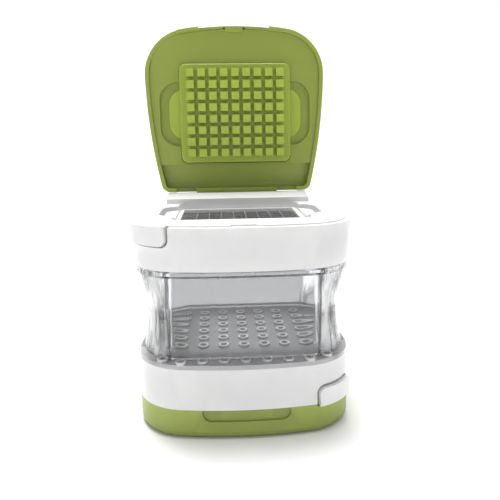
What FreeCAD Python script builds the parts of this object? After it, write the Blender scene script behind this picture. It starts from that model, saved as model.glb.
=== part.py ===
"""Two-sided vegetable dicer: a clear collecting box with a hinged dicing side and a hinged slicing side.

Each half of the tool is drawn in its own half frame: z = 0 is the face where the collar meets the
clear box and +z points away from the box.  The upper half is lifted onto the box, and the lower half
is the same geometry turned half a turn about the front-to-back axis.
Front is -Y, up is +Z, and all sizes are millimetres.
"""
import FreeCAD, Part
import math
import os
import Sketcher

V = FreeCAD.Vector
DOC = FreeCAD.newDocument("vegetable_dicer")

SIZES = [
    # plan outline shared by the lids, collars and trays
    ("front_radius", 150.0),
    ("corner_x", 20.3),
    ("corner_y", -17.2),
    ("corner_radius", 20.0),
    ("side_radius", 240.0),
    ("side_middle", -20.0),
    ("back_edge", 35.2),
    ("back_radius", 4.0),
    ("least_radius", 0.8),
    ("cutter_extra", 1.0),
    ("cutter_half", 60.0),
    # stack heights of one half, measured from the box
    ("collar_height", 15.3),
    ("collar_ledge", 12.0),
    ("part_gap", 0.05),
    ("deck_top", 15.9),
    ("lid_top", 26.7),
    ("lower_collar_top", 26.7),
    ("upper_collar_bottom", 62.2),
    # collar
    ("collar_draft", 0.8),
    ("collar_wall", 2.2),
    ("collar_flange", 4.2),
    # hinge
    ("hinge_y", 38.0),
    ("hinge_z", 16.6),
    ("barrel_radius", 2.6),
    ("bore_radius", 1.3),
    ("pin_radius", 1.25),
    ("pin_half", 31.7),
    ("lid_knuckle", 18.6),
    ("tray_knuckle_in", 18.9),
    ("tray_knuckle_out", 27.7),
    ("ear_in", 28.0),
    ("ear_out", 32.0),
    ("arm_bottom", 15.4),
    ("arm_top", 17.3),
    ("arm_root", 1.0),
    ("arm_gap", 0.15),
    # lid
    ("lid_wall", 1.8),
    ("lid_skin", 2.0),
    ("lid_edge_round", 3.0),
    ("panel_bottom", 16.2),
    ("panel_top", 18.6),
    ("panel_step", 22.6),
    ("riser", 1.4),
    ("panel_step_bottom", 18.35),
    ("panel_rear_bottom", 19.95),
    ("panel_step_top", 22.0),
    ("arm_notch_top", 17.7),
    ("recess_floor", 17.6),
    ("seat_gap", 0.3),
    ("scoop_depth", 0.75),
    ("scoop_half", 16.0),
    ("scoop_height", 4.5),
    ("scoop_round", 3.2),
    ("tongue_half", 3.9),
    ("tongue_height", 3.5),
    ("tongue_slot", 1.0),
    ("slot_skin", 1.3),
    ("slot_overrun", 0.5),
    ("catch_reach", 1.5),
    ("catch_height", 0.7),
    ("catch_root", 0.6),
    ("catch_gap", 0.5),
    ("catch_notch", 1.5),
    # pressers
    ("block_x", 24.9),
    ("block_y", 21.8),
    ("block_corner", 3.0),
    ("block_face", 13.5),
    ("block_shell", 1.8),
    ("block_round", 0.6),
    ("ear_x", 30.0),
    ("ear_y", 11.0),
    ("ear_corner", 7.0),
    ("ear_top", 17.55),
    ("ear_recess_x", 34.2),
    ("ear_recess_y", 14.2),
    ("ear_recess_corner", 8.0),
    ("pin_pitch", 5.0),
    ("pin_side", 3.4),
    ("pin_tip", 10.4),
    ("rib_pitch", 3.0),
    ("rib_width", 1.8),
    ("rib_half", 19.8),
    # tray
    ("deck_inset", 2.0),
    ("deck_under", 13.9),
    ("deck_plug_inset", 4.4),
    ("rail_front_top", 17.9),
    ("rail_back", 33.0),
    ("rail_top", 19.5),
    ("rail_half", 31.4),
    ("rail_flat", 2.0),
    ("deck_round", 0.4),
    ("well_x", 25.5),
    ("well_y", 23.0),
    ("well_corner", 3.0),
    ("well_floor", 11.55),
    ("well_ear_x", 31.6),
    ("well_ear_y", 13.6),
    ("well_wall", 1.4),
    ("well_under", 10.3),
    ("chute_x", 24.95),
    ("chute_y", 22.45),
    ("chute_wall", 1.4),
    ("chute_bottom", 1.0),
    ("tab_thick", 2.0),
    ("tab_out", 1.2),
    ("tab_bottom", 9.0),
    ("tab_from", 22.0),
    ("tab_to", 72.0),
    ("tab_clear", 2.2),
    ("tab_gap_below", 0.8),
    ("tab_corner", 2.5),
    ("tab_cut_depth", 5.0),
    # blade frame and blades
    ("frame_gap", 0.1),
    ("frame_bottom", 11.6),
    ("frame_top", 13.4),
    ("frame_ear_top", 14.6),
    ("frame_ear_x", 29.8),
    ("frame_ear_y", 10.5),
    ("frame_ear_corner", 6.0),
    ("block_clear", 0.2),
    ("opening_x", 23.5),
    ("opening_y", 21.0),
    ("skirt_wall", 1.3),
    ("skirt_bottom", 9.1),
    ("blade_thick", 0.4),
    ("blade_slot", 0.5),
    ("blade_bottom", 9.3),
    ("blade_top", 12.9),
    ("blade_lap", 11.1),
    ("lap_gap", 0.05),
    ("blade_grip", 0.9),
    ("blade_end_gap", 0.05),
    ("slice_pitch", 3.0),
    # clear box
    ("neck_inset", 2.25),
    ("neck_wall", 1.9),
    ("neck_top", 70.0),
    ("rim_inset", 0.8),
    ("rim_bottom", 59.8),
    ("box_front", -32.0),
    ("box_back", 31.6),
    ("box_front_radius", 500.0),
    ("box_corner", 17.5),
    ("box_back_corner", 8.0),
    ("chamber_half", 28.0),
    ("chamber_middle", -1.0),
    ("chamber_half_depth", 28.8),
    ("chamber_corner", 3.0),
    # ringed base plate
    ("plate_inset", 0.4),
    ("plate_bottom", 26.7),
    ("plate_top", 28.4),
    ("plate_neck_bottom", 19.5),
    ("ring_top", 29.4),
    ("ring_root", 0.1),
    ("ring_outer", 2.0),
    ("ring_inner", 1.3),
    ("ring_pitch", 7.7),
    ("ring_front", 34.9),
    ("ring_inside", 19.5),
    ("ring_corner_reach", 17.55),
    ("ring_corner_angle", 57.0),
    # pose of the upper lid
    ("lid_open_angle", 93.5),
]

SECTION_SIDES = [
    ("section_low", 28.45, 38.4),
    ("section_flare", 32.0, 37.8),
    ("section_lower", 36.0, 37.0),
    ("section_waist", 42.0, 36.3),
    ("section_upper", 51.0, 37.2),
    ("section_high", 61.0, 39.2),
]


def fill_sheet():
    """Write every driving size into the spreadsheet as a named cell."""
    sheet = DOC.addObject("Spreadsheet::Sheet", "dims")
    rows = list(SIZES)
    for name, height, half_width in SECTION_SIDES:
        rows.append((name + "_height", height))
        rows.append((name + "_side", half_width))
    for number, (alias, size) in enumerate(rows, start=1):
        sheet.set(f"A{number}", alias)
        sheet.set(f"B{number}", repr(size))
        sheet.setAlias(f"B{number}", alias)
    DOC.recompute()
    return sheet


SHEET = fill_sheet()

# distance from the origin to the middle of the front edge
FRONT_TEXT = ("dims.front_radius - dims.corner_y - sqrt((dims.front_radius - dims.corner_radius)^2"
              " - dims.corner_x^2)")
FRONT_CENTRE = f"dims.front_radius - ({FRONT_TEXT})"

# numbers of repeated pieces
PIN_COLUMNS = 9
PIN_ROWS = 8
RIBS = 14
LENGTHWISE_BLADES = 8
CROSSWISE_BLADES = 7
SLICING_BLADES = 15
STUD_COLUMNS = 7
STUD_ROWS = 6

# how near an edge has to be to the wanted place to be picked for rounding
LEVEL_NEAR = 0.001
LENGTH_NEAR = 0.6
SIDE_NEAR = 0.3
FRONT_BAND = 3.0
SHORT_EDGE = 2.0


def size(text):
    """The present value of an expression made of sheet names."""
    return float(SHEET.evalExpression(text))


def plane(body, role):
    """One of the body's own origin planes or axes."""
    return [item for item in body.Origin.OriginFeatures if item.Role == role][0]


def new_body(label):
    """Empty body whose name and label are the same."""
    body = DOC.addObject("PartDesign::Body", label)
    body.Label = label
    return body


def new_sketch(body, name, role, offset="0"):
    """A sketch on an origin plane, moved along that plane's normal by an expression."""
    sketch = body.newObject("Sketcher::SketchObject", name)
    sketch.AttachmentSupport = [(plane(body, role), "")]
    sketch.MapMode = "FlatFace"
    sketch.setExpression("AttachmentOffset.Base.z", offset)
    return sketch


def bind(sketch, constraint, text):
    """Add a dimensional constraint and drive it from the sheet."""
    index = sketch.addConstraint(constraint)
    sketch.setExpression(f"Constraints[{index}]", text)


def place_point(sketch, item, point, x_text, y_text):
    """Fix one point of a sketch item at the given coordinates."""
    origin = (-1, 1)
    bind(sketch, Sketcher.Constraint("DistanceX", *origin, item, point, size(x_text)), x_text)
    bind(sketch, Sketcher.Constraint("DistanceY", *origin, item, point, size(y_text)), y_text)


def arc(centre, radius, start, end):
    """Part of a circle, anticlockwise from one direction to another."""
    circle = Part.Circle(centre, V(0, 0, 1), radius)
    return Part.ArcOfCircle(circle, start, end)


def join_tangent(sketch, count):
    """Join each item to the next one, smoothly and in a closed ring."""
    for item in range(count):
        following = (item + 1) % count
        sketch.addConstraint(Sketcher.Constraint("Tangent", item, 2, following, 1))


def solve(sketch):
    """Solve a sketch and stop if its constraints disagree."""
    if sketch.solve() != 0:
        raise RuntimeError("sketch does not solve: " + sketch.Label)


def plan_texts(inset):
    """Expressions for the shared plan outline, moved inwards by an expression."""
    return {
        "corner_x": "dims.corner_x",
        "corner_y": "dims.corner_y",
        "corner_radius": f"dims.corner_radius - ({inset})",
        "front_radius": f"dims.front_radius - ({inset})",
        "side_radius": f"dims.side_radius - ({inset})",
        "side_middle": "dims.side_middle",
        "back_edge": f"dims.back_edge - ({inset})",
        "back_radius": f"max(dims.least_radius; dims.back_radius - ({inset}))",
    }


def plan_sketch(body, name, height, texts):
    """Closed outline: bowed front, round front corners, bowed sides, small back corners, flat back."""
    sketch = new_sketch(body, name, "XY_Plane", height)
    now = {key: size(text) for key, text in texts.items()}
    corner = V(now["corner_x"], now["corner_y"], 0)
    front_reach = now["front_radius"] - now["corner_radius"]
    front = V(0, corner.y + math.sqrt(front_reach ** 2 - corner.x ** 2), 0)
    side_reach = now["side_radius"] - now["corner_radius"]
    side_drop = corner.y - now["side_middle"]
    side = V(corner.x - math.sqrt(side_reach ** 2 - side_drop ** 2), now["side_middle"], 0)
    back_reach = now["side_radius"] - now["back_radius"]
    back_y = now["back_edge"] - now["back_radius"]
    back_x = side.x + math.sqrt(back_reach ** 2 - (back_y - side.y) ** 2)
    to_front = math.atan2(corner.y - front.y, corner.x)
    to_side = math.atan2(corner.y - side.y, corner.x - side.x)
    to_back = math.atan2(back_y - side.y, back_x - side.x)
    half_turn = math.pi
    quarter = half_turn / 2
    items = [
        arc(front, now["front_radius"], half_turn - to_front, to_front),
        arc(corner, now["corner_radius"], to_front, to_side),
        arc(side, now["side_radius"], to_side, to_back),
        arc(V(back_x, back_y, 0), now["back_radius"], to_back, quarter),
        Part.LineSegment(V(back_x, now["back_edge"], 0), V(-back_x, now["back_edge"], 0)),
        arc(V(-back_x, back_y, 0), now["back_radius"], quarter, half_turn - to_back),
        arc(V(-side.x, side.y, 0), now["side_radius"], half_turn - to_back, half_turn - to_side),
        arc(V(-corner.x, corner.y, 0), now["corner_radius"], half_turn - to_side, half_turn - to_front),
    ]
    for item in items:
        sketch.addGeometry(item, False)
    join_tangent(sketch, len(items))
    sketch.addConstraint(Sketcher.Constraint("PointOnObject", 0, 3, -2))
    bind(sketch, Sketcher.Constraint("Radius", 0, now["front_radius"]), texts["front_radius"])
    place_point(sketch, 1, 3, texts["corner_x"], texts["corner_y"])
    bind(sketch, Sketcher.Constraint("Radius", 1, now["corner_radius"]), texts["corner_radius"])
    bind(sketch, Sketcher.Constraint("Radius", 2, now["side_radius"]), texts["side_radius"])
    bind(sketch, Sketcher.Constraint("DistanceY", -1, 1, 2, 3, now["side_middle"]), texts["side_middle"])
    bind(sketch, Sketcher.Constraint("Radius", 3, now["back_radius"]), texts["back_radius"])
    sketch.addConstraint(Sketcher.Constraint("Horizontal", 4))
    bind(sketch, Sketcher.Constraint("DistanceY", -1, 1, 4, 1, now["back_edge"]), texts["back_edge"])
    for right, left in ((3, 5), (2, 6), (1, 7)):
        sketch.addConstraint(Sketcher.Constraint("Equal", right, left))
    sketch.addConstraint(Sketcher.Constraint("Horizontal", 1, 3, 7, 3))
    sketch.addConstraint(Sketcher.Constraint("Horizontal", 2, 3, 6, 3))
    solve(sketch)
    return sketch


def outline(body, name, height, inset):
    """The shared plan outline at a height, moved inwards by an expression."""
    return plan_sketch(body, name, height, plan_texts(inset))


def rounded_rectangle(body, name, height, half_x, half_y, corner, middle_y="0"):
    """Rectangle with equal round corners, centred on x = 0 and y = middle_y."""
    sketch = new_sketch(body, name, "XY_Plane", height)
    x, y, r = size(half_x), size(half_y), size(corner)
    move = V(0, size(middle_y), 0)
    quarter = math.pi / 2
    sides = [
        (V(r - x, -y, 0), V(x - r, -y, 0), V(x - r, r - y, 0)),
        (V(x, r - y, 0), V(x, y - r, 0), V(x - r, y - r, 0)),
        (V(x - r, y, 0), V(r - x, y, 0), V(r - x, y - r, 0)),
        (V(-x, y - r, 0), V(-x, r - y, 0), V(r - x, r - y, 0)),
    ]
    for number, (start, end, centre) in enumerate(sides):
        sketch.addGeometry(Part.LineSegment(start + move, end + move), False)
        first = (number - 1) * quarter
        sketch.addGeometry(arc(centre + move, r, first, first + quarter), False)
    join_tangent(sketch, 8)
    for item in (0, 4):
        sketch.addConstraint(Sketcher.Constraint("Horizontal", item))
    for item in (2, 6):
        sketch.addConstraint(Sketcher.Constraint("Vertical", item))
    for item in (3, 5, 7):
        sketch.addConstraint(Sketcher.Constraint("Equal", 1, item))
    bind(sketch, Sketcher.Constraint("Radius", 1, r), corner)
    low_y, high_y = f"{middle_y} - ({half_y})", f"{middle_y} + {half_y}"
    bind(sketch, Sketcher.Constraint("DistanceY", -1, 1, 0, 1, size(low_y)), low_y)
    bind(sketch, Sketcher.Constraint("DistanceX", -1, 1, 2, 1, x), half_x)
    bind(sketch, Sketcher.Constraint("DistanceY", -1, 1, 4, 1, size(high_y)), high_y)
    bind(sketch, Sketcher.Constraint("DistanceX", -1, 1, 6, 1, -x), f"-({half_x})")
    solve(sketch)
    return sketch


def polygon(body, name, role, offset, corners):
    """Closed straight-sided outline; each corner is a pair of expressions."""
    sketch = new_sketch(body, name, role, offset)
    points = [V(size(x), size(y), 0) for x, y in corners]
    count = len(points)
    for item in range(count):
        sketch.addGeometry(Part.LineSegment(points[item], points[(item + 1) % count]), False)
    for item in range(count):
        sketch.addConstraint(Sketcher.Constraint("Coincident", item, 2, (item + 1) % count, 1))
    for item, (x, y) in enumerate(corners):
        place_point(sketch, item, 1, x, y)
    solve(sketch)
    return sketch


def box_corners(x_low, x_high, y_low, y_high):
    """Corners of a rectangle, anticlockwise."""
    return [(x_low, y_low), (x_high, y_low), (x_high, y_high), (x_low, y_high)]


def circles(body, name, role, offset, rounds):
    """Full circles, each given by centre and radius expressions."""
    sketch = new_sketch(body, name, role, offset)
    for item, (x, y, radius) in enumerate(rounds):
        centre = V(size(x), size(y), 0)
        sketch.addGeometry(Part.Circle(centre, V(0, 0, 1), size(radius)), False)
        place_point(sketch, item, 3, x, y)
        bind(sketch, Sketcher.Constraint("Radius", item, size(radius)), radius)
    solve(sketch)
    return sketch


def tab_sketch(body, name, height, inner, outer, start, end):
    """Sector of a ring about the front-left corner centre, between two radii and two directions."""
    sketch = new_sketch(body, name, "XY_Plane", height)
    centre = V(-size("dims.corner_x"), size("dims.corner_y"), 0)
    r_in, r_out = size(inner), size(outer)
    first = math.pi + math.radians(size(start))
    last = math.pi + math.radians(size(end))

    def rim(radius, angle):
        return centre + V(radius * math.cos(angle), radius * math.sin(angle), 0)

    sketch.addGeometry(arc(centre, r_out, first, last), False)
    sketch.addGeometry(Part.LineSegment(rim(r_out, last), rim(r_in, last)), False)
    sketch.addGeometry(arc(centre, r_in, first, last), False)
    sketch.addGeometry(Part.LineSegment(rim(r_in, first), rim(r_out, first)), False)
    for one, point, two, other in ((0, 2, 1, 1), (1, 2, 2, 2), (2, 1, 3, 1), (3, 2, 0, 1)):
        sketch.addConstraint(Sketcher.Constraint("Coincident", one, point, two, other))
    place_point(sketch, 0, 3, "-dims.corner_x", "dims.corner_y")
    sketch.addConstraint(Sketcher.Constraint("Coincident", 0, 3, 2, 3))
    for item, reach in ((0, outer), (2, inner)):
        place_point(sketch, item, 1, f"-dims.corner_x - ({reach}) * cos({start})",
                    f"dims.corner_y - ({reach}) * sin({start})")
        end_text = f"-dims.corner_x - ({reach}) * cos({end})"
        bind(sketch, Sketcher.Constraint("DistanceX", -1, 1, item, 2, size(end_text)), end_text)
    solve(sketch)
    return sketch


def front_sector(body, name, height, inner, outer, half_width):
    """Slice of a ring about the centre of the bowed front, symmetric about x = 0."""
    sketch = new_sketch(body, name, "XY_Plane", height)
    centre = V(0, size(FRONT_CENTRE), 0)
    r_in, r_out, reach = size(inner), size(outer), size(half_width)
    quarter = math.pi / 2
    outer_turn, inner_turn = math.asin(reach / r_out), math.asin(reach / r_in)
    first_out, last_out = -quarter - outer_turn, -quarter + outer_turn
    first_in, last_in = -quarter - inner_turn, -quarter + inner_turn

    def rim(radius, angle):
        return centre + V(radius * math.cos(angle), radius * math.sin(angle), 0)

    sketch.addGeometry(arc(centre, r_out, first_out, last_out), False)
    sketch.addGeometry(Part.LineSegment(rim(r_out, last_out), rim(r_in, last_in)), False)
    sketch.addGeometry(arc(centre, r_in, first_in, last_in), False)
    sketch.addGeometry(Part.LineSegment(rim(r_in, first_in), rim(r_out, first_out)), False)
    for one, point, two, other in ((0, 2, 1, 1), (1, 2, 2, 2), (2, 1, 3, 1), (3, 2, 0, 1)):
        sketch.addConstraint(Sketcher.Constraint("Coincident", one, point, two, other))
    place_point(sketch, 0, 3, "0", FRONT_CENTRE)
    sketch.addConstraint(Sketcher.Constraint("Coincident", 0, 3, 2, 3))
    for item, radius in ((0, outer), (2, inner)):
        bind(sketch, Sketcher.Constraint("Radius", item, size(radius)), radius)
        bind(sketch, Sketcher.Constraint("DistanceX", -1, 1, item, 1, -reach), f"-({half_width})")
        bind(sketch, Sketcher.Constraint("DistanceX", -1, 1, item, 2, reach), half_width)
    solve(sketch)
    return sketch


def pad(body, name, sketch, length, reversed_way=False, centred=False):
    """Raise a sketch along its normal, or against it when reversed_way is set."""
    feature = body.newObject("PartDesign::Pad", name)
    feature.Profile = sketch
    feature.setExpression("Length", length)
    feature.Reversed = reversed_way
    feature.Midplane = centred
    DOC.recompute()
    return feature


def pocket(body, name, sketch, length, along_normal=False, centred=False):
    """Cut away from the sketch; along_normal cuts towards the sketch normal."""
    before = body.Shape.Volume
    feature = body.newObject("PartDesign::Pocket", name)
    feature.Profile = sketch
    feature.setExpression("Length", length)
    feature.Reversed = along_normal
    feature.Midplane = centred
    DOC.recompute()
    if body.Shape.Volume >= before:
        raise RuntimeError("pocket removes nothing: " + name)
    return feature


def fillet_edges(body, name, radius, wanted):
    """Round the edges of the body's last shape that a test picks."""
    last = body.Tip
    names = []
    for number, edge in enumerate(last.Shape.Edges, start=1):
        if wanted(edge):
            names.append(f"Edge{number}")
    feature = body.newObject("PartDesign::Fillet", name)
    feature.Base = (last, names)
    feature.setExpression("Radius", radius)
    DOC.recompute()
    return feature


def at_height(height):
    """Picks the edges that lie level at a height."""
    def wanted(edge):
        box = edge.BoundBox
        return abs(box.ZMin - height) < LEVEL_NEAR and abs(box.ZMax - height) < LEVEL_NEAR
    return wanted


def radial_at(height, length):
    """Picks the short level straight edges at the ends of the tab or of its window."""
    level = at_height(height)

    def wanted(edge):
        middle = edge.BoundBox.Center
        in_corner = middle.x < -size("dims.corner_x") and middle.y < size("dims.corner_y")
        straight = edge.Curve.TypeId == "Part::GeomLine"
        return level(edge) and in_corner and straight and abs(edge.Length - length) < LENGTH_NEAR
    return wanted


def short_ends_at(height):
    """Picks the two short level edges that end the finger scoop."""
    level = at_height(height)

    def wanted(edge):
        middle = edge.BoundBox.Center
        in_front = middle.y < size("dims.corner_y - dims.corner_radius") + FRONT_BAND
        at_side = abs(abs(middle.x) - size("dims.scoop_half")) < SIDE_NEAR
        return level(edge) and in_front and at_side and edge.Length < SHORT_EDGE
    return wanted


def row_of(body, name, feature, axis, length, count):
    """Repeat a feature along one of the body's axes."""
    pattern = body.newObject("PartDesign::LinearPattern", name)
    pattern.Originals = [feature]
    pattern.Direction = (plane(body, axis), [""])
    pattern.setExpression("Length", length)
    pattern.Occurrences = count
    body.Tip = pattern
    DOC.recompute()
    return pattern


def grid_of(body, name, feature, x_length, x_count, y_length, y_count):
    """Repeat a feature in columns along X and rows along Y."""
    grid = body.newObject("PartDesign::MultiTransform", name)
    grid.Originals = [feature]
    steps = []
    directions = (("x", "X_Axis", x_length, x_count), ("y", "Y_Axis", y_length, y_count))
    for tag, axis, length, count in directions:
        step = body.newObject("PartDesign::LinearPattern", f"{name}_{tag}")
        step.Direction = (plane(body, axis), [""])
        step.setExpression("Length", length)
        step.Occurrences = count
        steps.append(step)
    grid.Transformations = steps
    body.Tip = grid
    DOC.recompute()
    return grid


def row_positions(pitch, count):
    """Expressions for the places of equally spaced pieces, centred on zero."""
    middle = (count - 1) / 2
    return [f"{step - middle} * {pitch}" for step in range(count)]


def add_knuckle(body, name, start, length, root_y, arm_low, arm_high):
    """One hinge barrel and the arm that carries it, from x = start over a length."""
    arm = polygon(body, name + "_arm_plan", "YZ_Plane", start,
                  box_corners(root_y, "dims.hinge_y", arm_low, arm_high))
    pad(body, name + "_arm", arm, length)
    barrel = circles(body, name + "_barrel_plan", "YZ_Plane", start,
                     [("dims.hinge_y", "dims.hinge_z", "dims.barrel_radius")])
    pad(body, name + "_barrel", barrel, length)


def bore_hinge(body):
    """Pin hole through every knuckle of the body."""
    hole = circles(body, "hinge_bore_plan", "YZ_Plane", "0",
                   [("dims.hinge_y", "dims.hinge_z", "dims.bore_radius")])
    pocket(body, "hinge_bore", hole, "4 * dims.ear_out", centred=True)


def cut_tab_window(body):
    """Window in the front-left corner that the tray's lift tab hangs in, with round lower corners."""
    floor = "dims.tab_bottom - dims.tab_gap_below"
    window = tab_sketch(body, "tab_window_plan", floor, "dims.corner_radius - dims.tab_cut_depth",
                        "dims.corner_radius + dims.cutter_extra", "dims.tab_from - dims.tab_clear",
                        "dims.tab_to + dims.tab_clear")
    pocket(body, "tab_window", window, "dims.collar_height", along_normal=True)
    fillet_edges(body, "tab_window_corners", "dims.tab_corner + dims.tab_gap_below",
                 radial_at(size(floor), size("dims.collar_wall")))


def make_collar(label):
    """Moulded ring with an inward flange that carries the tray, and two hinge ears behind."""
    body = new_body(label)
    wall = pad(body, "wall", outline(body, "wall_plan", "0", "dims.collar_draft"), "dims.collar_height")
    wall.setExpression("TaperAngle", "atan(dims.collar_draft / dims.collar_height)")
    DOC.recompute()
    pocket(body, "hollow", outline(body, "hollow_plan", "0", "dims.collar_wall"),
           "dims.collar_ledge", along_normal=True)
    pocket(body, "mouth", outline(body, "mouth_plan", "0", "dims.collar_flange"),
           "dims.collar_height", along_normal=True)
    cut_tab_window(body)
    ear_length = "dims.ear_out - dims.ear_in"
    root = "dims.back_edge - dims.collar_wall"
    low = "dims.hinge_z - 2 * dims.barrel_radius"
    high = "dims.collar_height"
    add_knuckle(body, "right_ear", "dims.ear_in", ear_length, root, low, high)
    add_knuckle(body, "left_ear", "-dims.ear_out", ear_length, root, low, high)
    bore_hinge(body)
    return body


def add_catch_notch(body):
    """Gap in the front edge of the deck that the lid's catch drops through."""
    front = "dims.corner_y - 2 * dims.corner_radius"
    behind = f"-({FRONT_TEXT}) + dims.deck_inset + dims.catch_notch"
    sketch = polygon(body, "catch_notch_plan", "XY_Plane", "dims.deck_top",
                     box_corners("-dims.tongue_half - dims.catch_gap", "dims.tongue_half + dims.catch_gap",
                                 front, behind))
    pocket(body, "catch_notch", sketch, "dims.deck_top - dims.collar_height")


def add_tab(body):
    """Lift tab: a bridge over the collar's window and a curved skirt that hangs in it."""
    outer = "dims.corner_radius + dims.tab_out"
    bridge = tab_sketch(body, "tab_bridge_plan", "dims.deck_under",
                        "dims.corner_radius - dims.deck_plug_inset", outer, "dims.tab_from", "dims.tab_to")
    pad(body, "tab_bridge", bridge, "dims.deck_top - dims.deck_under")
    skirt = tab_sketch(body, "tab_skirt_plan", "dims.tab_bottom", "dims.corner_radius - dims.tab_thick",
                       outer, "dims.tab_from", "dims.tab_to")
    pad(body, "tab_skirt", skirt, "dims.deck_top - dims.tab_bottom")
    fillet_edges(body, "tab_corners", "dims.tab_corner",
                 radial_at(size("dims.tab_bottom"), size("dims.tab_thick + dims.tab_out")))


def add_deck(body, underside):
    """Thin cover over the collar, a plug inside its mouth, and a rail along the back."""
    pad(body, "deck", outline(body, "deck_plan", underside, "dims.deck_inset"),
        f"dims.deck_top - ({underside})")
    fillet_edges(body, "deck_edge", "dims.deck_round", at_height(size("dims.deck_top")))
    plug = outline(body, "deck_plug_plan", "dims.deck_under", "dims.deck_plug_inset")
    pad(body, "deck_plug", plug, f"{underside} - dims.deck_under")
    rail = polygon(body, "rail_profile", "YZ_Plane", "0", [
        ("dims.well_y", underside),
        ("dims.rail_back", underside),
        ("dims.rail_back", "dims.rail_top"),
        ("dims.rail_back - dims.rail_flat", "dims.rail_top"),
        ("dims.well_y", "dims.rail_front_top"),
    ])
    pad(body, "rail", rail, "2 * dims.rail_half", centred=True)


def add_well(body):
    """Sunk seat for the blade frame and its ears, and the chute below it."""
    boss_height = "dims.deck_top - dims.well_under - dims.deck_round"
    well_boss = rounded_rectangle(body, "well_boss_plan", "dims.well_under", "dims.well_x + dims.well_wall",
                                  "dims.well_y + dims.well_wall", "dims.well_corner + dims.well_wall")
    pad(body, "well_boss", well_boss, boss_height)
    ear_boss = rounded_rectangle(body, "ear_boss_plan", "dims.well_under", "dims.well_ear_x + dims.well_wall",
                                 "dims.well_ear_y + dims.well_wall", "dims.ear_recess_corner")
    pad(body, "ear_boss", ear_boss, boss_height)
    chute = rounded_rectangle(body, "chute_plan", "dims.chute_bottom", "dims.chute_x + dims.chute_wall",
                              "dims.chute_y + dims.chute_wall", "dims.well_corner + dims.chute_wall")
    pad(body, "chute", chute, "dims.well_under - dims.chute_bottom")
    well_depth = "dims.deck_top - dims.well_floor"
    well = rounded_rectangle(body, "well_plan", "dims.deck_top", "dims.well_x", "dims.well_y",
                             "dims.well_corner")
    pocket(body, "well", well, well_depth)
    ears = rounded_rectangle(body, "ear_recess_plan", "dims.deck_top", "dims.well_ear_x", "dims.well_ear_y",
                             "dims.ear_recess_corner - dims.well_wall")
    pocket(body, "ear_recess", ears, well_depth)
    throat = rounded_rectangle(body, "throat_plan", "dims.deck_top", "dims.chute_x", "dims.chute_y",
                               "dims.well_corner")
    pocket(body, "throat", throat, "dims.deck_top")


def make_tray(label):
    """Deck with a sunk well for the blade frame, a chute below it, a corner tab and two knuckles."""
    body = new_body(label)
    underside = "dims.collar_height + dims.part_gap"
    add_deck(body, underside)
    add_tab(body)
    add_well(body)
    add_catch_notch(body)
    length = "dims.tray_knuckle_out - dims.tray_knuckle_in"
    for side, start in (("right", "dims.tray_knuckle_in"), ("left", "-dims.tray_knuckle_out")):
        add_knuckle(body, side + "_knuckle", start, length, "dims.rail_back - dims.arm_root",
                    "dims.arm_bottom", "dims.arm_top")
    bore_hinge(body)
    return body


def cut_arm_notches(body):
    """Two gaps in the lid's back rim that the tray's hinge arms pass through."""
    low_y = "dims.back_edge - 2 * dims.lid_wall"
    high_y = "dims.back_edge + dims.cutter_extra"
    inner = "dims.tray_knuckle_in - dims.arm_gap"
    outer = "dims.tray_knuckle_out + dims.arm_gap"
    for side, low_x, high_x in (("right", inner, outer), ("left", f"-({outer})", f"-({inner})")):
        sketch = polygon(body, side + "_arm_notch_plan", "XY_Plane", "dims.collar_height",
                         box_corners(low_x, high_x, low_y, high_y))
        pocket(body, side + "_arm_notch", sketch, "dims.arm_notch_top - dims.collar_height",
               along_normal=True)


def cut_tongue(body):
    """Finger scoop outside the front rim, two slots beside the tongue, and the catch inside it."""
    rim = "dims.collar_height"
    front = f"-({FRONT_TEXT})"
    scoop = front_sector(body, "scoop_plan", rim, "dims.front_radius - dims.scoop_depth",
                         "dims.front_radius + dims.cutter_extra", "dims.scoop_half")
    pocket(body, "scoop", scoop, "dims.scoop_height", along_normal=True)
    fillet_edges(body, "scoop_corners", "dims.scoop_round", short_ends_at(size(rim + " + dims.scoop_height")))
    near = f"{front} + dims.slot_skin"
    far = f"{front} + dims.lid_wall + dims.slot_overrun"
    edge = "dims.tongue_half + dims.tongue_slot"
    slot_ends = (("right", "dims.tongue_half", edge), ("left", f"-({edge})", "-dims.tongue_half"))
    for side, low_x, high_x in slot_ends:
        slot = polygon(body, side + "_slot_plan", "XY_Plane", rim, box_corners(low_x, high_x, near, far))
        pocket(body, side + "_slot", slot, "dims.tongue_height", along_normal=True)
    inner_face = f"{front} + dims.lid_wall"
    catch = polygon(body, "catch_plan", "XY_Plane", "dims.arm_bottom",
                    box_corners("-dims.tongue_half", "dims.tongue_half", inner_face + " - dims.catch_root",
                                inner_face + " + dims.catch_reach"))
    pad(body, "catch", catch, "dims.catch_height")


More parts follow.
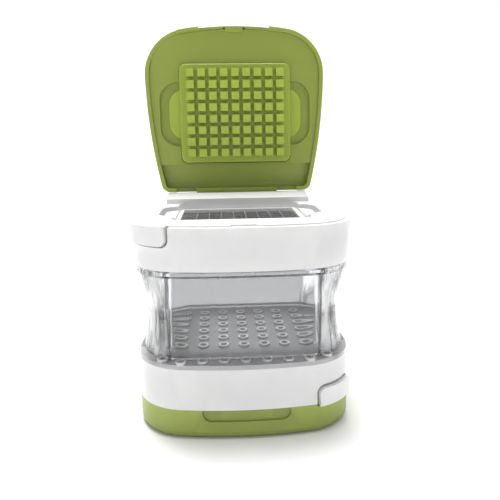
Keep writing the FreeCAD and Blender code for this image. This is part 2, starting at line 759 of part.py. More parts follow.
def make_lid(label):
    """Shallow shell lid with round top edge, finger scoop, snap tongue and one wide hinge knuckle."""
    body = new_body(label)
    rim = "dims.collar_height + dims.part_gap"
    pad(body, "shell", outline(body, "shell_plan", rim, "0"), f"dims.lid_top - ({rim})")
    fillet_edges(body, "top_edge", "dims.lid_edge_round", at_height(size("dims.lid_top")))
    pocket(body, "hollow", outline(body, "hollow_plan", rim, "dims.lid_wall"),
           f"dims.lid_top - dims.lid_skin - ({rim})", along_normal=True)
    cut_arm_notches(body)
    tab_gap = tab_sketch(body, "tab_notch_plan", "dims.collar_height",
                         "dims.corner_radius - dims.tab_cut_depth", "dims.corner_radius + dims.tab_out",
                         "dims.tab_from - dims.tab_clear", "dims.tab_to + dims.tab_clear")
    pocket(body, "tab_notch", tab_gap, "dims.panel_bottom - dims.collar_height", along_normal=True)
    cut_tongue(body)
    add_knuckle(body, "knuckle", "-dims.lid_knuckle", "2 * dims.lid_knuckle",
                "dims.back_edge - dims.lid_wall", "dims.arm_bottom", "dims.hinge_z + dims.barrel_radius")
    bore_hinge(body)
    return body


def make_panel(label):
    """Inner panel of the lid: a seat for the presser and its ears, and a step over the tray's rail."""
    body = new_body(label)
    pad(body, "plate", outline(body, "plate_plan", "dims.panel_bottom", "dims.lid_wall + dims.part_gap"),
        "dims.panel_step_top - dims.panel_bottom")
    front = polygon(body, "front_plan", "XY_Plane", "dims.panel_step_top",
                    box_corners("-dims.cutter_half", "dims.cutter_half", "-dims.cutter_half",
                                "dims.panel_step - dims.riser"))
    pocket(body, "front_relief", front, "dims.panel_step_top - dims.panel_top")
    rail_room = polygon(body, "rail_room_profile", "YZ_Plane", "0", [
        ("dims.panel_step", "dims.panel_bottom - dims.cutter_extra"),
        ("dims.back_edge", "dims.panel_bottom - dims.cutter_extra"),
        ("dims.back_edge", "dims.panel_rear_bottom"),
        ("dims.rail_back - dims.rail_flat", "dims.panel_rear_bottom"),
        ("dims.panel_step", "dims.panel_step_bottom"),
    ])
    pocket(body, "rail_room", rail_room, "2 * dims.cutter_half", centred=True)
    depth = "dims.recess_floor - dims.panel_bottom"
    seat = rounded_rectangle(body, "seat_plan", "dims.panel_bottom", "dims.block_x + dims.seat_gap",
                             "dims.block_y + dims.seat_gap", "dims.block_corner")
    pocket(body, "seat", seat, depth, along_normal=True)
    ears = rounded_rectangle(body, "ear_seat_plan", "dims.panel_bottom", "dims.ear_recess_x",
                             "dims.ear_recess_y", "dims.ear_recess_corner")
    pocket(body, "ear_seat", ears, depth, along_normal=True)
    return body


def make_presser_block(label):
    """Hollow-backed block with an ear each side, before its pins or ribs are added."""
    body = new_body(label)
    block = rounded_rectangle(body, "block_plan", "dims.block_face", "dims.block_x", "dims.block_y",
                              "dims.block_corner")
    pad(body, "block", block, "dims.ear_top - dims.block_face")
    fillet_edges(body, "face_edge", "dims.block_round", at_height(size("dims.block_face")))
    ears = rounded_rectangle(body, "ears_plan", "dims.panel_bottom", "dims.ear_x", "dims.ear_y",
                             "dims.ear_corner")
    pad(body, "ears", ears, "dims.ear_top - dims.panel_bottom")
    back = rounded_rectangle(body, "back_plan", "dims.ear_top", "dims.block_x - dims.block_shell",
                             "dims.block_y - dims.block_shell", "dims.block_corner")
    pocket(body, "back_hollow", back, "dims.ear_top - dims.block_face - dims.block_shell")
    return body


def add_pins(body):
    """Nine columns by eight rows of square pins, one over each opening of the grid."""
    first_x = row_positions("dims.pin_pitch", PIN_COLUMNS)[0]
    first_y = row_positions("dims.pin_pitch", PIN_ROWS)[0]
    half = "dims.pin_side / 2"
    pin = polygon(body, "pin_plan", "XY_Plane", "dims.block_face",
                  box_corners(f"{first_x} - {half}", f"{first_x} + {half}",
                              f"{first_y} - {half}", f"{first_y} + {half}"))
    one = pad(body, "pin", pin, "dims.block_face - dims.pin_tip", reversed_way=True)
    grid_of(body, "pins", one, f"{PIN_COLUMNS - 1} * dims.pin_pitch", PIN_COLUMNS,
            f"{PIN_ROWS - 1} * dims.pin_pitch", PIN_ROWS)


def add_ribs(body):
    """Fourteen long ribs, one between each two slicing blades."""
    first_x = row_positions("dims.rib_pitch", RIBS)[0]
    half = "dims.rib_width / 2"
    rib = polygon(body, "rib_plan", "XY_Plane", "dims.block_face",
                  box_corners(f"{first_x} - {half}", f"{first_x} + {half}",
                              "-dims.rib_half", "dims.rib_half"))
    one = pad(body, "rib", rib, "dims.block_face - dims.pin_tip", reversed_way=True)
    row_of(body, "ribs", one, "X_Axis", f"{RIBS - 1} * dims.rib_pitch", RIBS)


def make_frame(label):
    """Blade frame: a rim with two ears, and a skirt below it that grips the blade ends."""
    body = new_body(label)
    rim = rounded_rectangle(body, "rim_plan", "dims.frame_bottom", "dims.well_x - dims.frame_gap",
                            "dims.well_y - dims.frame_gap", "dims.well_corner")
    pad(body, "rim", rim, "dims.frame_top - dims.frame_bottom")
    ears = rounded_rectangle(body, "ears_plan", "dims.frame_bottom", "dims.frame_ear_x", "dims.frame_ear_y",
                             "dims.frame_ear_corner")
    pad(body, "ears", ears, "dims.frame_ear_top - dims.frame_bottom")
    skirt = rounded_rectangle(body, "skirt_plan", "dims.skirt_bottom", "dims.opening_x + dims.skirt_wall",
                              "dims.opening_y + dims.skirt_wall", "dims.well_corner")
    pad(body, "skirt", skirt, "dims.frame_bottom - dims.skirt_bottom")
    middle = rounded_rectangle(body, "middle_plan", "dims.frame_ear_top", "dims.block_x + dims.block_clear",
                               "dims.block_y + dims.block_clear", "dims.block_corner")
    pocket(body, "middle", middle, "dims.frame_ear_top - dims.frame_top")
    opening = rounded_rectangle(body, "opening_plan", "dims.frame_top", "dims.opening_x", "dims.opening_y",
                                "dims.block_round")
    pocket(body, "opening", opening, "dims.frame_top")
    return body


def cut_blade_slots(body, name, along, first, pitch, count):
    """Slots from below, through both skirts, for a row of blades standing side by side."""
    half = "dims.blade_slot / 2"
    reach = "dims.blade_grip + dims.blade_end_gap"
    low, high = f"{first} - {half}", f"{first} + {half}"
    if along == "Y":
        ends = f"dims.opening_y + {reach}"
        corners = box_corners(low, high, f"-({ends})", ends)
        row_axis = "X_Axis"
    else:
        ends = f"dims.opening_x + {reach}"
        corners = box_corners(f"-({ends})", ends, low, high)
        row_axis = "Y_Axis"
    sketch = polygon(body, name + "_plan", "XY_Plane", "dims.skirt_bottom", corners)
    slot = pocket(body, name, sketch, "dims.blade_top + dims.blade_end_gap - dims.skirt_bottom",
                  along_normal=True)
    row_of(body, name + "_row", slot, row_axis, f"{count - 1} * {pitch}", count)


def notched_corners(half_length, notches, from_top):
    """Side view of one blade strip, with a half-height notch at each crossing."""
    half = "dims.blade_slot / 2"
    bottom, top = "dims.blade_bottom", "dims.blade_top"
    corners = [(f"-({half_length})", bottom)]
    if not from_top:
        for centre in notches:
            depth = "dims.blade_lap + dims.lap_gap"
            corners += [(f"{centre} - {half}", bottom), (f"{centre} - {half}", depth),
                        (f"{centre} + {half}", depth), (f"{centre} + {half}", bottom)]
    corners += [(half_length, bottom), (half_length, top)]
    if from_top:
        for centre in reversed(notches):
            depth = "dims.blade_lap - dims.lap_gap"
            corners += [(f"{centre} + {half}", top), (f"{centre} + {half}", depth),
                        (f"{centre} - {half}", depth), (f"{centre} - {half}", top)]
    corners.append((f"-({half_length})", top))
    return corners


def make_blades(label, along, first, pitch, count, notches, from_top):
    """A row of equal thin steel strips standing on edge."""
    body = new_body(label)
    body.AllowCompound = True
    if along == "Y":
        role, row_axis, opening = "YZ_Plane", "X_Axis", "dims.opening_y"
        offset = f"{first} - dims.blade_thick / 2"
    else:
        role, row_axis, opening = "XZ_Plane", "Y_Axis", "dims.opening_x"
        offset = f"-({first}) - dims.blade_thick / 2"
    strip = polygon(body, "strip_plan", role, offset,
                    notched_corners(f"{opening} + dims.blade_grip", notches, from_top))
    one = pad(body, "strip", strip, "dims.blade_thick")
    row_of(body, "strips", one, row_axis, f"{count - 1} * {pitch}", count)
    return body


def make_pin(label):
    """Straight hinge pin."""
    body = new_body(label)
    shaft = circles(body, "shaft_plan", "YZ_Plane", "0",
                    [("dims.hinge_y", "dims.hinge_z", "dims.pin_radius")])
    pad(body, "shaft", shaft, "2 * dims.pin_half", centred=True)
    return body


def box_texts(side):
    """Plan of the clear box at one height: flat front and tighter corners than the collars."""
    return {
        "corner_x": f"{side} - dims.box_corner",
        "corner_y": "dims.box_front + dims.box_corner",
        "corner_radius": "dims.box_corner",
        "front_radius": "dims.box_front_radius",
        "side_radius": "dims.side_radius",
        "side_middle": "dims.side_middle",
        "back_edge": "dims.box_back",
        "back_radius": "dims.box_back_corner",
    }


def loft(body, name, sections):
    """Solid that passes through a stack of outlines."""
    feature = body.newObject("PartDesign::AdditiveLoft", name)
    feature.Profile = sections[0]
    feature.Sections = sections[1:]
    DOC.recompute()
    return feature


def make_container(label):
    """Clear waisted box round a straight chamber, with a neck that plugs into the upper collar."""
    body = new_body(label)
    sections = []
    for name, height, half_width in SECTION_SIDES:
        sections.append(plan_sketch(body, name, f"dims.{name}_height", box_texts(f"dims.{name}_side")))
    loft(body, "walls", sections)
    rim_top = "dims.upper_collar_bottom - dims.part_gap"
    rim = outline(body, "rim_plan", "dims.rim_bottom", "dims.rim_inset")
    pad(body, "rim", rim, f"{rim_top} - dims.rim_bottom")
    neck = outline(body, "neck_plan", rim_top, "dims.neck_inset")
    pad(body, "neck", neck, f"dims.neck_top - ({rim_top})")
    chamber = rounded_rectangle(body, "chamber_plan", "dims.neck_top", "dims.chamber_half",
                                "dims.chamber_half_depth", "dims.chamber_corner", "dims.chamber_middle")
    pocket(body, "chamber", chamber, "dims.neck_top")
    mouth = outline(body, "mouth_plan", "dims.neck_top", "dims.neck_inset + dims.neck_wall")
    pocket(body, "mouth", mouth, "dims.neck_top - dims.section_high_height")
    return body


def first_ring(body, name, y):
    """The left-hand hollow stud of a row."""
    x = row_positions("dims.ring_pitch", STUD_COLUMNS)[0]
    sketch = circles(body, name + "_plan", "XY_Plane", "dims.plate_top - dims.ring_root",
                     [(x, y, "dims.ring_outer"), (x, y, "dims.ring_inner")])
    return pad(body, name, sketch, "dims.ring_top - dims.plate_top + dims.ring_root")


def add_rings(body):
    """A row of hollow studs along the front and a rectangular block of them inside the box."""
    across = f"{STUD_COLUMNS - 1} * dims.ring_pitch"
    front = first_ring(body, "front_ring", "-dims.ring_front")
    row_of(body, "front_row", front, "X_Axis", across, STUD_COLUMNS)
    inside = first_ring(body, "inside_ring", "-dims.ring_inside")
    grid_of(body, "inside_block", inside, across, STUD_COLUMNS,
            f"{STUD_ROWS - 1} * dims.ring_pitch", STUD_ROWS)


def add_corner_rings(body):
    """A hollow stud at each front corner, following the outline."""
    rounds = []
    for sign in ("", "-"):
        x = f"{sign}(dims.corner_x + dims.ring_corner_reach * cos(dims.ring_corner_angle))"
        y = "dims.corner_y - dims.ring_corner_reach * sin(dims.ring_corner_angle)"
        rounds += [(x, y, "dims.ring_outer"), (x, y, "dims.ring_inner")]
    sketch = circles(body, "corner_rings_plan", "XY_Plane", "dims.plate_top - dims.ring_root", rounds)
    pad(body, "corner_rings", sketch, "dims.ring_top - dims.plate_top + dims.ring_root")


def make_ring_plate(label):
    """Clear base plate covered in hollow studs, with a neck that plugs into the lower collar."""
    body = new_body(label)
    pad(body, "plate", outline(body, "plate_plan", "dims.plate_bottom", "dims.plate_inset"),
        "dims.plate_top - dims.plate_bottom")
    neck = outline(body, "neck_plan", "dims.plate_bottom", "dims.neck_inset")
    pad(body, "neck", neck, "dims.plate_bottom - dims.plate_neck_bottom", reversed_way=True)
    inside = outline(body, "neck_inside_plan", "dims.plate_neck_bottom", "dims.neck_inset + dims.neck_wall")
    pocket(body, "neck_inside", inside, "dims.plate_bottom - dims.plate_neck_bottom", along_normal=True)
    add_rings(body)
    add_corner_rings(body)
    return body


def make_half(names):
    """Build one half of the tool in its half frame and return its bodies by role."""
    return {
        "collar": make_collar(names["collar"]),
        "tray": make_tray(names["tray"]),
        "lid": make_lid(names["lid"]),
        "panel": make_panel(names["panel"]),
        "pin": make_pin(names["pin"]),
        "frame": make_frame(names["frame"]),
        "presser": make_presser_block(names["presser"]),
    }


def make_dicing_half():
    """Upper half: a grid of crossed blades under a presser with square pins."""
    made = make_half({
        "collar": "upper_collar",
        "tray": "dicing_tray",
        "lid": "upper_lid",
        "panel": "upper_lid_panel",
        "pin": "upper_hinge_pin",
        "frame": "dicing_blade_frame",
        "presser": "dicing_presser",
    })
    add_pins(made["presser"])
    columns = row_positions("dims.pin_pitch", LENGTHWISE_BLADES)
    rows = row_positions("dims.pin_pitch", CROSSWISE_BLADES)
    cut_blade_slots(made["frame"], "long_slot", "Y", columns[0], "dims.pin_pitch", LENGTHWISE_BLADES)
    cut_blade_slots(made["frame"], "cross_slot", "X", rows[0], "dims.pin_pitch", CROSSWISE_BLADES)
    made["long"] = make_blades("lengthwise_blades", "Y", columns[0], "dims.pin_pitch",
                               LENGTHWISE_BLADES, rows, True)
    made["cross"] = make_blades("crosswise_blades", "X", rows[0], "dims.pin_pitch",
                                CROSSWISE_BLADES, columns, False)
    return made


def make_slicing_half():
    """Lower half: a row of parallel blades under a presser with long ribs."""
    made = make_half({
        "collar": "lower_collar",
        "tray": "slicing_tray",
        "lid": "lower_lid",
        "panel": "lower_lid_panel",
        "pin": "lower_hinge_pin",
        "frame": "slicing_blade_frame",
        "presser": "slicing_presser",
    })
    add_ribs(made["presser"])
    first = row_positions("dims.slice_pitch", SLICING_BLADES)[0]
    cut_blade_slots(made["frame"], "slice_slot", "Y", first, "dims.slice_pitch", SLICING_BLADES)
    made["slices"] = make_blades("slicing_blades", "Y", first, "dims.slice_pitch", SLICING_BLADES,
                                 [], True)
    return made


def place_halves(dicing, slicing):
    """Lift the dicing half onto the box, turn the slicing half over, and open the upper lid."""
    no_turn = FreeCAD.Rotation()
    half_turn = FreeCAD.Rotation(V(0, 1, 0), 180)
    lifted = FreeCAD.Placement(V(0, 0, size("dims.upper_collar_bottom")), no_turn)
    turned_over = FreeCAD.Placement(V(0, 0, size("dims.lower_collar_top")), half_turn)
    hinge = V(0, size("dims.hinge_y"), size("dims.hinge_z"))
    opening = FreeCAD.Rotation(V(1, 0, 0), -size("dims.lid_open_angle"))
    opened = lifted.multiply(FreeCAD.Placement(V(0, 0, 0), opening, hinge))
    for role, body in dicing.items():
        body.Placement = opened if role in ("lid", "panel", "presser") else lifted
    for body in slicing.values():
        body.Placement = turned_over


def write_parts(bodies):
    """Check every object and write one STEP file for each body."""
    DOC.recompute()
    for item in DOC.Objects:
        if "Invalid" in item.State or "Error" in item.State:
            raise RuntimeError("bad object: " + item.Label)
    os.makedirs("parts", exist_ok=True)
    for body in bodies:
        shape = body.Shape
        if shape.isNull() or not shape.isValid():
            raise RuntimeError("bad shape: " + body.Label)
        shape.exportStep(f"parts/{body.Label}.step")
        print(body.Label, len(shape.Solids), round(shape.Volume, 1), shape.BoundBox)


DICING = make_dicing_half()
SLICING = make_slicing_half()
BOX = [make_container("container"), make_ring_plate("ring_plate")]
place_halves(DICING, SLICING)
write_parts(BOX + list(DICING.values()) + list(SLICING.values()))
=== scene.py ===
"""Looks for the two-sided vegetable dicer: materials, light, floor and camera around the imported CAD."""

import math

import bpy
from mathutils import Matrix, Vector

MM = 0.001

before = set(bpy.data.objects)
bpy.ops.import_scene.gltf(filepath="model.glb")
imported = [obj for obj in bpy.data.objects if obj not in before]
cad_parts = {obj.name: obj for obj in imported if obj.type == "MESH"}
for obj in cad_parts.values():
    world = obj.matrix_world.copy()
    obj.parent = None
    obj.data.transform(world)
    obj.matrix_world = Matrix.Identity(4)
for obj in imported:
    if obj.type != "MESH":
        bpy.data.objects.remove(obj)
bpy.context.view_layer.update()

LID_NODES = ("upper_lid", "lower_lid")
PANEL_NODES = ("upper_lid_panel", "lower_lid_panel")
PRESSER_NODES = ("dicing_presser", "slicing_presser")
COLLAR_NODES = ("upper_collar", "lower_collar")
WHITE_NODES = ("dicing_tray", "dicing_blade_frame", "slicing_tray", "slicing_blade_frame")
BLADE_NODES = ("lengthwise_blades", "crosswise_blades", "slicing_blades")
PIN_NODES = ("upper_hinge_pin", "lower_hinge_pin")

# edge rounding of the moulded pieces
LID_EDGE = 0.22 * MM
PRESSER_EDGE = 0.3 * MM
COLLAR_EDGE = 0.5 * MM
WHITE_EDGE = 0.3 * MM
SHARP = 0.0
BEVEL_STEPS = 2
BEVEL_ANGLE = math.radians(50)

# colours, as linear red, green and blue
LID_LIGHT = (0.27, 0.325, 0.066)
LID_DARK = (0.25, 0.30, 0.062)
LID_WORN = (0.40, 0.50, 0.07)
PANEL_LIGHT = (0.305, 0.37, 0.062)
PANEL_DARK = (0.285, 0.345, 0.058)
PRESSER_LIGHT = (0.36, 0.45, 0.06)
PRESSER_DARK = (0.33, 0.42, 0.055)
PRESSER_WORN = (0.46, 0.58, 0.07)
WHITE_LIGHT = (0.725, 0.725, 0.725)
WHITE_DARK = (0.69, 0.69, 0.69)
WHITE_WORN = (0.84, 0.84, 0.84)
BOX_LIGHT = (0.95, 0.955, 0.965)
BOX_DARK = (0.91, 0.92, 0.935)
# grey painted onto the clear back wall as shade
BOX_BACK_PAINTED_SHADE = (0.27, 0.27, 0.275)
PLATE_DARK = (0.42, 0.42, 0.425)
PLATE_LIGHT = (0.49, 0.49, 0.495)
PLATE_RIM_PAINTED_LIGHT = (0.70, 0.70, 0.715)
PLATE_STUD_PAINTED_HIGHLIGHT = (0.93, 0.93, 0.94)
PLATE_EDGES = (0.95, 0.95, 0.95)
STEEL_DARK = (0.52, 0.52, 0.53)
STEEL_LIGHT = (0.68, 0.68, 0.69)
PAPER_DARK = (0.93, 0.93, 0.93)
PAPER_LIGHT = (0.95, 0.95, 0.95)
WHITE_LIGHTING = (1.0, 1.0, 1.0, 1.0)

# how far green light travels inside the moulded plastics
GLOW_SCALE = 0.002
GLOW_RADIUS = (1.0, 0.9, 0.35)

# where the clear box gets painted shade and streaks: Y of the back wall, tinted grey as painted shade, X
# of the sides, Y of the front corners, where the streaks are relief and painted highlights
BACK_WALL_Y = (20.0 * MM, 27.0 * MM)
SIDE_X = (27.0 * MM, 30.0 * MM)
FRONT_CORNER_Y = (-18.0 * MM, -10.0 * MM)
SIDE_STREAKS = 0.12

# where the studded plate is painted lighter: Y of its front rim, painted light, and Z of its studs,
# painted highlights
PLATE_RIM_Y = (-34.0 * MM, -31.5 * MM)
STUD_Z = (28.6 * MM, 29.2 * MM)

# noise stretched into grinding lines: along the blades, and round the hinge pins
BLADE_LINES = (500.0, 500.0, 2500.0)
PIN_LINES = (60.0, 1500.0, 1500.0)

# paper sweep, in metres, and the gap that keeps it clear of the closed lower lid
SWEEP_HALF_WIDTH = 2.5
SWEEP_FRONT = -2.5
SWEEP_BEND = 0.6
SWEEP_RADIUS = 0.5
SWEEP_TOP = 2.4
SWEEP_STEPS = 16
SWEEP_DROP = 0.05 * MM

# lights: power in watts, and the strength of the even surroundings
TOP_POWER = 10.5
FILL_POWER = 0.35
WASH_POWER = 14.0
SURROUNDINGS = 0.48

# camera: place, then yaw, pitch and roll in degrees
CAMERA_PLACE = Vector((-7.2, -214.8, 108.3)) * MM
CAMERA_TURN = (2.93, 12.28, -0.79)
CAMERA_SENSOR = 36.0
CAMERA_LENS = 38.85
CAMERA_NEAR = 0.01


# ---------------------------------------------------------------- material building blocks

class Nodes:
    """A material's node tree with short calls for adding and joining nodes."""

    def __init__(self, name):
        self.material = bpy.data.materials.new(name)
        self.material.use_nodes = True
        self.tree = self.material.node_tree
        self.shader = self.tree.nodes["Principled BSDF"]

    def add(self, kind, **settings):
        """A new node with the given settings."""
        node = self.tree.nodes.new(kind)
        for key, value in settings.items():
            setattr(node, key, value)
        return node

    def link(self, output, target):
        self.tree.links.new(output, target)

    def position(self):
        """The object's own coordinates, in metres."""
        return self.add("ShaderNodeTexCoord").outputs["Object"]

    def axes(self):
        """The object's own coordinates as separate X, Y and Z values."""
        split = self.add("ShaderNodeSeparateXYZ")
        self.link(self.position(), split.inputs["Vector"])
        return split.outputs

    def stretched(self, scale):
        """The object's own coordinates, scaled differently along each axis."""
        mapping = self.add("ShaderNodeMapping")
        mapping.inputs["Scale"].default_value = scale
        self.link(self.position(), mapping.inputs["Vector"])
        return mapping.outputs["Vector"]

    def noise(self, scale=1.0, detail=3.0, rough=0.55, vector=None):
        """Cloudy noise between 0 and 1."""
        noise = self.add("ShaderNodeTexNoise")
        noise.inputs["Scale"].default_value = scale
        noise.inputs["Detail"].default_value = detail
        noise.inputs["Roughness"].default_value = rough
        self.link(vector or self.position(), noise.inputs["Vector"])
        return noise.outputs["Fac"]

    def spread(self, value, source, target=(0.0, 1.0)):
        """Stretch a value from one range onto another, clamped at both ends."""
        node = self.add("ShaderNodeMapRange")
        node.inputs["From Min"].default_value = source[0]
        node.inputs["From Max"].default_value = source[1]
        node.inputs["To Min"].default_value = target[0]
        node.inputs["To Max"].default_value = target[1]
        self.link(value, node.inputs["Value"])
        return node.outputs["Result"]

    def blend(self, factor, first, second):
        """Mix two colours; factor 0 gives the first and 1 the second."""
        node = self.add("ShaderNodeMix", data_type="RGBA")
        for socket, colour in (("A", first), ("B", second)):
            target = [item for item in node.inputs if item.name == socket and item.type == "RGBA"][0]
            if isinstance(colour, tuple):
                target.default_value = (*colour, 1.0)
            else:
                self.link(colour, target)
        self.link(factor, node.inputs["Factor"])
        return [item for item in node.outputs if item.type == "RGBA"][0]

    def math(self, operation, first, second):
        """Arithmetic on two values, each a number or another node's output."""
        node = self.add("ShaderNodeMath", operation=operation)
        for number, value in enumerate((first, second)):
            if isinstance(value, float):
                node.inputs[number].default_value = value
            else:
                self.link(value, node.inputs[number])
        return node.outputs["Value"]

    def from_middle(self, value):
        """Distance from zero, whichever the side."""
        node = self.add("ShaderNodeMath", operation="ABSOLUTE")
        self.link(value, node.inputs[0])
        return node.outputs["Value"]

    def bump(self, height, strength, distance, under=None):
        """Small surface relief, laid over another one when it is given."""
        node = self.add("ShaderNodeBump")
        node.inputs["Strength"].default_value = strength
        node.inputs["Distance"].default_value = distance
        self.link(height, node.inputs["Height"])
        if under is not None:
            self.link(under, node.inputs["Normal"])
        return node.outputs["Normal"]

    def edges(self):
        """High on outward edges, which rub first."""
        return self.add("ShaderNodeNewGeometry").outputs["Pointiness"]

    def set(self, **values):
        """Set or link inputs of the material's shader."""
        for key, value in values.items():
            socket = self.shader.inputs[key.replace("_", " ")]
            if isinstance(value, (float, int, tuple)):
                socket.default_value = value
            else:
                self.link(value, socket)


def moulded_plastic(name, light, dark, worn, roughness, glow):
    """Satin moulded plastic: cloudy tone, fine orange-peel, faint rubbed scratches and worn edges."""
    n = Nodes(name)
    clouds = n.noise(scale=55.0, detail=4.0)
    tone = n.blend(n.spread(clouds, (0.35, 0.65)), dark, light)
    tone = n.blend(n.spread(n.edges(), (0.52, 0.62), (0.0, 0.6)), tone, worn)
    scratches = n.noise(detail=5.0, rough=0.7, vector=n.stretched((900.0, 120.0, 240.0)))
    rubbed = n.spread(scratches, (0.5, 0.75), (roughness, roughness + 0.18))
    smudges = n.spread(n.noise(scale=28.0), (0.4, 0.7), (0.0, 0.07))
    peel = n.bump(n.noise(scale=900.0, detail=2.0), strength=0.08, distance=0.0002)
    waves = n.bump(n.noise(scale=42.0, detail=1.0), strength=0.12, distance=0.0006, under=peel)
    n.set(Base_Color=tone, Roughness=n.math("ADD", rubbed, smudges), Normal=waves, IOR=1.5)
    n.set(Subsurface_Weight=glow, Subsurface_Scale=GLOW_SCALE, Subsurface_Radius=GLOW_RADIUS)
    return n.material


def clear_plastic(name):
    """Clear moulded plastic: streaky corners with painted white highlight streaks, handling marks, and a
    frosted back wall tinted grey as painted shade.
    """
    n = Nodes(name)
    flow = n.noise(scale=26.0, detail=2.0)
    tint = n.blend(n.spread(flow, (0.3, 0.7)), BOX_LIGHT, BOX_DARK)
    place = n.axes()
    behind = n.spread(place["Y"], BACK_WALL_Y)
    # the back wall is tinted grey: painted shade standing in for the dim inside of the box
    tint = n.blend(behind, tint, BOX_BACK_PAINTED_SHADE)
    marks = n.noise(detail=5.0, rough=0.7, vector=n.stretched((160.0, 700.0, 120.0)))
    frost = n.math("MULTIPLY", behind, 0.15)
    rough = n.math("ADD", n.spread(marks, (0.55, 0.8), (0.015, 0.09)), frost)
    side = n.spread(n.from_middle(place["X"]), SIDE_X)
    front_corner = n.spread(place["Y"], FRONT_CORNER_Y, (1.0, SIDE_STREAKS))
    post = n.math("MULTIPLY", side, n.math("MAXIMUM", front_corner, behind))
    waves = n.bump(n.noise(scale=60.0, detail=1.0), strength=0.05, distance=0.0004)
    streaks = n.noise(detail=3.0, rough=0.6, vector=n.stretched((260.0, 260.0, 14.0)))
    waves = n.bump(n.math("MULTIPLY", streaks, post), strength=0.45, distance=0.0015, under=waves)
    # the streaks are also made less clear, so they show as whitish lines: painted highlights where the
    # curved corners would flash
    painted_streak_highlight = n.math("MULTIPLY", n.spread(streaks, (0.48, 0.6), (0.06, 0.6)), post)
    clear_part = n.math("SUBTRACT", 1.0, painted_streak_highlight)
    n.set(Base_Color=tint, Roughness=rough, Normal=waves, IOR=1.4, Transmission_Weight=clear_part)
    return n.material


def cloudy_plastic(name):
    """Half-clear grey plastic of the studded plate: its front rim painted lighter as painted light from
    above, and its studs painted near-white as painted highlights.
    """
    n = Nodes(name)
    cloud = n.spread(n.noise(scale=70.0, detail=3.0), (0.35, 0.65))
    tone = n.blend(cloud, PLATE_DARK, PLATE_LIGHT)
    place = n.axes()
    # painted light: the front rim made lighter, as if lit while the inner plate is in shade
    tone = n.blend(n.spread(place["Y"], PLATE_RIM_Y, (1.0, 0.0)), tone, PLATE_RIM_PAINTED_LIGHT)
    # painted highlight: the stud tops made near-white, as if catching the light
    tone = n.blend(n.spread(place["Z"], STUD_Z), tone, PLATE_STUD_PAINTED_HIGHLIGHT)
    tone = n.blend(n.spread(n.edges(), (0.51, 0.58)), tone, PLATE_EDGES)
    marks = n.noise(detail=4.0, rough=0.7, vector=n.stretched((700.0, 160.0, 160.0)))
    rough = n.spread(marks, (0.5, 0.8), (0.10, 0.22))
    waves = n.bump(n.noise(scale=80.0, detail=1.0), strength=0.08, distance=0.0003)
    n.set(Base_Color=tone, Roughness=rough, Normal=waves, IOR=1.49, Transmission_Weight=0.45)
    return n.material


def ground_steel(name, line_scale, roughness):
    """Stainless steel with grinding lines along one direction and a slightly uneven tone."""
    n = Nodes(name)
    lines = n.noise(detail=6.0, rough=0.75, vector=n.stretched(line_scale))
    tone = n.blend(n.spread(n.noise(scale=90.0), (0.35, 0.65)), STEEL_DARK, STEEL_LIGHT)
    rough = n.spread(lines, (0.3, 0.7), (roughness, roughness + 0.15))
    grain = n.bump(lines, strength=0.12, distance=0.0001)
    n.set(Base_Color=tone, Metallic=1.0, Roughness=rough, Normal=grain)
    return n.material


def floor_paper(name):
    """Plain matt white paper sweep with a barely visible grain."""
    n = Nodes(name)
    tone = n.blend(n.spread(n.noise(scale=6.0), (0.3, 0.7)), PAPER_DARK, PAPER_LIGHT)
    grain = n.bump(n.noise(scale=700.0), strength=0.03, distance=0.0002)
    n.set(Base_Color=tone, Roughness=0.9, Normal=grain)
    return n.material


# ---------------------------------------------------------------- the object's own nodes

def dress(names, material, edge_width):
    """Give nodes their material, and a small moulded edge where they need one."""
    for name in names:
        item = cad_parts[name]
        item.data.materials.clear()
        item.data.materials.append(material)
        if edge_width:
            bevel = item.modifiers.new("soft_edge", "BEVEL")
            bevel.width = edge_width
            bevel.segments = BEVEL_STEPS
            bevel.limit_method = "ANGLE"
            bevel.angle_limit = BEVEL_ANGLE
            bevel.use_clamp_overlap = True
            bevel.harden_normals = False


def dress_object():
    """Make the materials and put one on every node."""
    green = moulded_plastic("lime_green_plastic", LID_LIGHT, LID_DARK, LID_WORN, 0.36, 0.08)
    flat_green = moulded_plastic("flat_green_plastic", PANEL_LIGHT, PANEL_DARK, PANEL_LIGHT, 0.36, 0.08)
    lime = moulded_plastic("bright_lime_plastic", PRESSER_LIGHT, PRESSER_DARK, PRESSER_WORN, 0.34, 0.08)
    white = moulded_plastic("white_plastic", WHITE_LIGHT, WHITE_DARK, WHITE_WORN, 0.30, 0.1)
    clear = clear_plastic("clear_box_plastic")
    plate = cloudy_plastic("cloudy_plate_plastic")
    blades = ground_steel("ground_blade_steel", BLADE_LINES, 0.22)
    pins = ground_steel("drawn_pin_steel", PIN_LINES, 0.3)
    dress(LID_NODES, green, LID_EDGE)
    dress(PANEL_NODES, flat_green, SHARP)
    dress(PRESSER_NODES, lime, PRESSER_EDGE)
    dress(COLLAR_NODES, white, COLLAR_EDGE)
    dress(WHITE_NODES, white, WHITE_EDGE)
    dress(("container",), clear, SHARP)
    dress(("ring_plate",), plate, SHARP)
    dress(BLADE_NODES, blades, SHARP)
    dress(PIN_NODES, pins, SHARP)


# ---------------------------------------------------------------- floor, light and camera

def sweep_profile():
    """Side view of the paper: flat in front, a quarter turn, then a wall, as pairs of Y and Z."""
    profile = [(SWEEP_FRONT, 0.0), (SWEEP_BEND, 0.0)]
    for step in range(1, SWEEP_STEPS + 1):
        angle = math.radians(90.0) * step / SWEEP_STEPS
        y = SWEEP_BEND + SWEEP_RADIUS * math.sin(angle)
        z = SWEEP_RADIUS * (1.0 - math.cos(angle))
        profile.append((y, z))
    profile.append((SWEEP_BEND + SWEEP_RADIUS, SWEEP_TOP))
    return profile


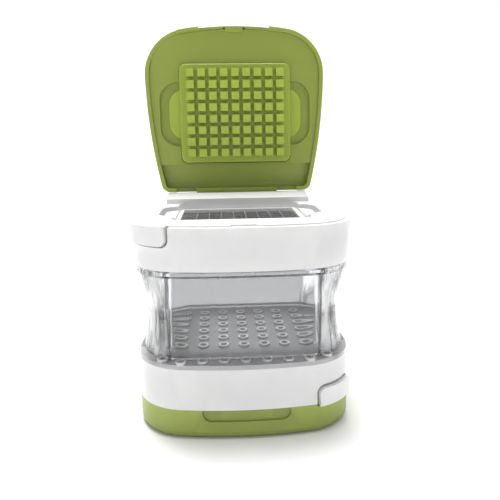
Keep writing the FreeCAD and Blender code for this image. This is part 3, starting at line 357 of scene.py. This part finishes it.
def add_sweep():
    """White paper sweep: flat under the object, curving up into a wall well behind it."""
    points = []
    faces = []
    for number, (y, z) in enumerate(sweep_profile()):
        points.append((-SWEEP_HALF_WIDTH, y, z))
        points.append((SWEEP_HALF_WIDTH, y, z))
        if number:
            faces.append((2 * number - 2, 2 * number - 1, 2 * number + 1, 2 * number))
    mesh = bpy.data.meshes.new("sweep")
    mesh.from_pydata(points, [], faces)
    mesh.polygons.foreach_set("use_smooth", [True] * len(faces))
    sweep = bpy.data.objects.new("sweep", mesh)
    bpy.context.scene.collection.objects.link(sweep)
    mesh.materials.append(floor_paper("floor_paper"))
    sweep.location.z = -SWEEP_DROP


def add_area_light(name, location, size, power, aim):
    """Square soft light that points at a place."""
    data = bpy.data.lights.new(name, "AREA")
    data.shape = "SQUARE"
    data.size = size
    data.energy = power
    light = bpy.data.objects.new(name, data)
    bpy.context.scene.collection.objects.link(light)
    light.location = location
    direction = Vector(aim) - Vector(location)
    light.rotation_euler = direction.to_track_quat("-Z", "Y").to_euler()


def add_lights():
    """Even surroundings, a soft light above and a little behind, and a wash that whitens the wall."""
    world = bpy.data.worlds.new("studio")
    bpy.context.scene.world = world
    world.use_nodes = True
    background = world.node_tree.nodes["Background"]
    background.inputs["Color"].default_value = WHITE_LIGHTING
    background.inputs["Strength"].default_value = SURROUNDINGS
    add_area_light("top", location=(-0.08, 0.20, 0.95), size=0.4, power=TOP_POWER, aim=(0.0, 0.0, 0.05))
    add_area_light("fill", location=(-0.3, -0.9, 0.35), size=0.5, power=FILL_POWER, aim=(0.0, 0.0, 0.08))
    add_area_light("wall_wash", location=(0.0, 0.1, 1.9), size=1.2, power=WASH_POWER, aim=(0.0, 1.1, 0.5))


def add_camera():
    """Camera at the photograph's place: slightly left of the middle, looking down a little."""
    yaw, pitch, roll = (math.radians(angle) for angle in CAMERA_TURN)
    forward = Vector((math.sin(yaw) * math.cos(pitch), math.cos(yaw) * math.cos(pitch), -math.sin(pitch)))
    level = Vector((math.cos(yaw), -math.sin(yaw), 0.0))
    upright = level.cross(forward)
    right = math.cos(roll) * level + math.sin(roll) * upright
    up = -math.sin(roll) * level + math.cos(roll) * upright
    axes = Matrix((right, up, -forward)).transposed()
    data = bpy.data.cameras.new("camera")
    data.sensor_width = CAMERA_SENSOR
    data.lens = CAMERA_LENS
    data.clip_start = CAMERA_NEAR
    camera = bpy.data.objects.new("camera", data)
    bpy.context.scene.collection.objects.link(camera)
    camera.matrix_world = Matrix.Translation(CAMERA_PLACE) @ axes.to_4x4()
    bpy.context.scene.camera = camera


dress_object()
add_sweep()
add_lights()
add_camera()
bpy.context.scene.view_settings.view_transform = "Standard"
